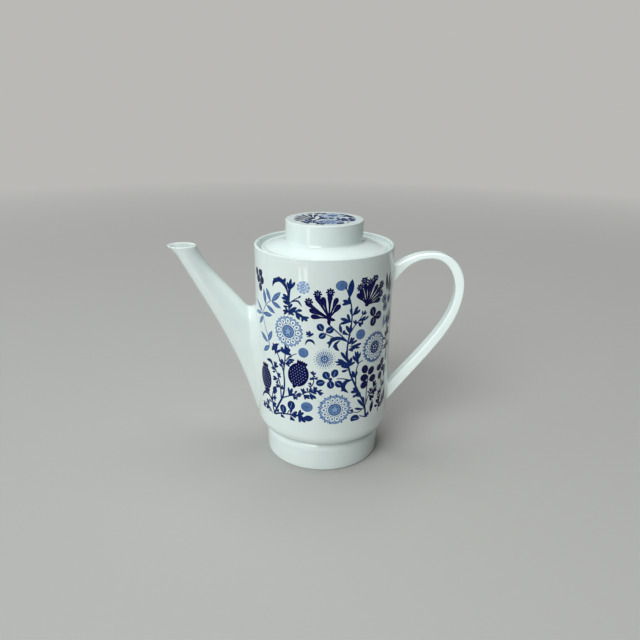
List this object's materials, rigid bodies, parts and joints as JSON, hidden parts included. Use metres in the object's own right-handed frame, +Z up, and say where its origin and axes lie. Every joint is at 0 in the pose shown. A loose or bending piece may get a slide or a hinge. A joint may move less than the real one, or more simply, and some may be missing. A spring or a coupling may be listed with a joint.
{
  "type": "porcelain coffee pot",
  "caption": "Tall cylindrical porcelain pot with a raking level-cut spout, an ear-shaped strap handle, a stepped foot and a lift-off lid with a wide drum knob.",
  "frame": {"origin": "middle of the footprint from spout tip to handle bow, on the table plane below the foot; the pot's turning axis stands 5.3 mm towards +X of it", "axes": "+Z up, -X towards the spout, +X towards the handle"},
  "size_m": [0.2184, 0.1014, 0.1821],
  "materials": {
    "glazed_body": "gloss glaze with a blue in-glaze print of flowers and leaves",
    "glazed_foot": "gloss glaze, unglazed contact ring",
    "glazed_spout": "gloss glaze",
    "glazed_handle": "gloss glaze",
    "glazed_lid": "gloss glaze",
    "bare_flange": "thin glaze, wiped bare at the seat",
    "glazed_knob": "gloss glaze with a blue print on top",
    "glazed_lug": "satin glaze"
  },
  "bodies": {
    "pot": {"vessel_body": "glazed_body", "foot": "glazed_foot", "spout": "glazed_spout", "handle": "glazed_handle"},
    "lid": {"lid_plate": "glazed_lid", "lid_flange": "bare_flange", "lid_knob": "glazed_knob", "lid_lug": "glazed_lug"}
  },
  "joints": [
    {"name": "lid_lift", "type": "slide", "parent": "pot", "child": "lid", "axis": [0, 0, 1], "range_m": [0, 0.06]}
  ]
}
